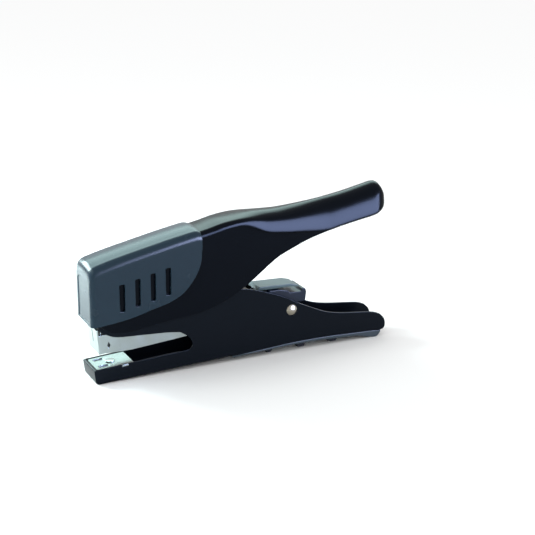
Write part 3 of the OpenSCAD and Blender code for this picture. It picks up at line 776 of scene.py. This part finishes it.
def upright_coil(node, wire, turns):
    low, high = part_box(node)
    coil_spring(node, Vector(((low.x + high.x) / 2, 0, low.z + wire)), 0,
                (high.x - low.x) / 2, high.z - low.z, wire, turns)


upright_coil("lift_spring", 0.45 * MM, 6)
upright_coil("latch_spring", 0.2 * MM, 4)
coil_spring("follower_spring",
            RIVET_PLACE + Matrix.Rotation(-MAGAZINE_RISE, 3, "Y") @ FOLLOWER_BACK,
            math.pi / 2 - MAGAZINE_RISE, radius=1.7 * MM, height=73 * MM, wire=0.25 * MM, turns=42)

# ---- Plated sheet parts: anvil plate, nose plate, magazine, core, driver and blade.
# They are blanked from thin steel strip and bright plated; fine rolling marks run along the
# strip, and the blanked edges are slightly rounded.
STEEL = surface("bright_steel", (0.31, 0.355, 0.35), (0.42, 0.46, 0.46), 0.22, patches=0.05,
                patch_scale=260.0, skin_scale=4200.0, skin_height=0.04, wear=0.3, Metallic=0.92)
# painted shade: the anvil plate is the same bright steel as the rest, given a darker copy to hold
# down the top light its level face reflects
SHADED_ANVIL_STEEL = surface("anvil_steel", (0.215, 0.25, 0.245), (0.3, 0.34, 0.34), 0.24,
                      patches=0.05, patch_scale=260.0, skin_scale=4200.0, skin_height=0.04,
                      wear=0.3, Metallic=0.92)
# painted shade: a dark steel for the faces sunk into the anvil plate's clinch pockets, standing in
# for the shade that falls in those hollows
POCKET_SHADE = surface("pocket_steel", (0.06, 0.07, 0.08), (0.2, 0.22, 0.23), 0.4, patches=0.05,
                 patch_scale=260.0, skin_height=0.04, wear=0.1, Metallic=0.9)
ANVIL_SLOPE = math.tan(math.radians(3.4))
POCKET_REACH = 6.8 * MM
POCKET_MARGIN = 1.0 * MM
POCKET_SHALLOWEST, POCKET_DEEPEST = 0.25 * MM, 0.9 * MM
NOTCH_AT, NOTCH_WIDTH, NOTCH_HEIGHT = (-72.6, 19.5), 1.7, 3.2


def notch_bar():
    """A diamond bar right across, for the sighting notch through the nose plate and magazine."""
    tool = bmesh.new()
    bmesh.ops.create_cone(tool, cap_ends=True, segments=4, radius1=0.5, radius2=0.5,
                          depth=BAR_LENGTH,
                          matrix=Matrix.Rotation(math.pi / 2, 4, "X"))
    bmesh.ops.scale(tool, vec=(NOTCH_WIDTH * MM, MM, NOTCH_HEIGHT * MM), verts=tool.verts)
    bmesh.ops.translate(tool, vec=(NOTCH_AT[0] * MM, 0, NOTCH_AT[1] * MM), verts=tool.verts)
    return as_piece(tool, "notch_bar")


for node, body, edge in (("anvil_plate", "frame", 0.14), ("anvil_rivet", "frame", 0.12),
                         ("spring_seat", "frame", 0.1), ("magazine_channel", "magazine", 0.1),
                         ("nose_plate", "magazine", 0.14), ("staple_core", "magazine", 0.1),
                         ("driver_blade", "driver", 0.06),
                         ("blade_rivets", "driver", 0.1)):
    piece = merged_copy(node, node + "_plated")
    if node in ("magazine_channel", "nose_plate"):
        cut(piece, notch_bar())
    rounded(piece, edge * MM, segments=2)
    dressed(piece, SHADED_ANVIL_STEEL if node == "anvil_plate" else STEEL)
    if node == "anvil_plate":
        # the faces sunk into the plate's top take the painted pocket shade
        piece.data.materials.append(POCKET_SHADE)
        top_low, top_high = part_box(node)
        for face in piece.data.polygons:
            x, y, z = face.center
            surface_z = top_high.z - (top_high.x - x) * ANVIL_SLOPE
            inside = top_low.x + POCKET_MARGIN < x < top_high.x - POCKET_MARGIN
            sunk = POCKET_SHALLOWEST < surface_z - z < POCKET_DEEPEST
            if inside and sunk and abs(y) < POCKET_REACH:
                face.material_index = 1
    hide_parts(node)
    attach(piece, body)

# ---- Driver arm: the inner trough over the magazine that the roller presses down.
# It is pressed from 0.6 mm sheet, painted black, and hangs on the main rivet.
driver_arm = rounded(merged_copy("driver_arm", "driver_arm_pressing"), 0.1 * MM, segments=2)
dressed(driver_arm, BLACK_PAINT)
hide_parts("driver_arm")
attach(driver_arm, "driver")

# ---- Rivets, pins, rod, roller and screws, nickel plated.
# The main rivet's domed heads show on both sides of the frame; the rest is inside, or under
# the sole.
NICKEL = surface("nickel", (0.31, 0.285, 0.23), (0.45, 0.43, 0.38), 0.25, patches=0.04,
                 patch_scale=300.0, skin_height=0.02, wear=0.2, Metallic=1.0)
for node, body in (("main_rivet", "frame"), ("fulcrum_pin", "frame"), ("sole_screws", "frame"),
                   ("fulcrum_bushes", "lever"), ("roller_pin", "lever"),
                   ("pressure_roller", "roller"), ("guide_rod", "loader"),
                   ("rod_clip", "loader"), ("latch_pin", "loader")):
    piece = rounded(merged_copy(node, node + "_nickel"), 0.1 * MM, segments=2,
                    angle=math.radians(40))
    dressed(piece, NICKEL)
    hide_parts(node)
    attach(piece, body)

# ---- Loader knob, latch and sole strip, moulded in satin slate plastic.
# The knob closes the rear of the magazine and carries the latch on a pin; the strip lines the
# belly of the lower handle.
TRIM = surface("slate_trim", (0.0075, 0.015, 0.034), (0.06, 0.09, 0.1), 0.3, patches=0.03,
               skin_scale=1500.0, skin_height=0.015, wear=0.3, Specular_IOR_Level=0.2)
SOLE_TRIM = surface("sole_trim", (0.028, 0.046, 0.056), (0.1, 0.13, 0.14), 0.38,
                    patches=0.03, skin_scale=1500.0, skin_height=0.02, wear=0.3,
                    Specular_IOR_Level=0.25)
LATCH_TRIM = surface("latch_trim", (0.085, 0.135, 0.16), (0.16, 0.2, 0.22), 0.34, patches=0.03,
                     skin_scale=1500.0, skin_height=0.015, wear=0.2, Specular_IOR_Level=0.2)
for node, body, edge, material in (("loader_knob", "loader", 0.35, TRIM),
                                   ("latch", "latch", 0.3, LATCH_TRIM),
                                   ("sole_strip", "frame", 0.3, SOLE_TRIM)):
    piece = rounded(merged_copy(node, node + "_moulding"), edge * MM)
    dressed(piece, material)
    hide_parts(node)
    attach(piece, body)

# ---- Grip pads and follower.
# Three black rubber pads are let into the sole strip; the follower is a dark plastic shoe that
# runs on the guide rod.
RUBBER = surface("rubber", (0.008, 0.008, 0.009), (0.02, 0.02, 0.02), 0.62, skin_scale=1600.0,
                 skin_height=0.1, wear=0.2, Specular_IOR_Level=0.1)
SHOE = surface("shoe_plastic", (0.02, 0.02, 0.023), (0.05, 0.05, 0.05), 0.45, skin_height=0.05,
               wear=0.2)
for node, body, edge, material, slot in (("grip_pad_1", "frame", 0.4, RUBBER, "rubber"),
                                         ("grip_pad_2", "frame", 0.4, RUBBER, "rubber"),
                                         ("grip_pad_3", "frame", 0.4, RUBBER, "rubber"),
                                         ("follower", "follower", 0.15, SHOE, "follower_plastic")):
    piece = rounded(merged_copy(node, node + "_finished"), edge * MM)
    dressed(piece, material)
    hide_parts(node)
    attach(piece, body)
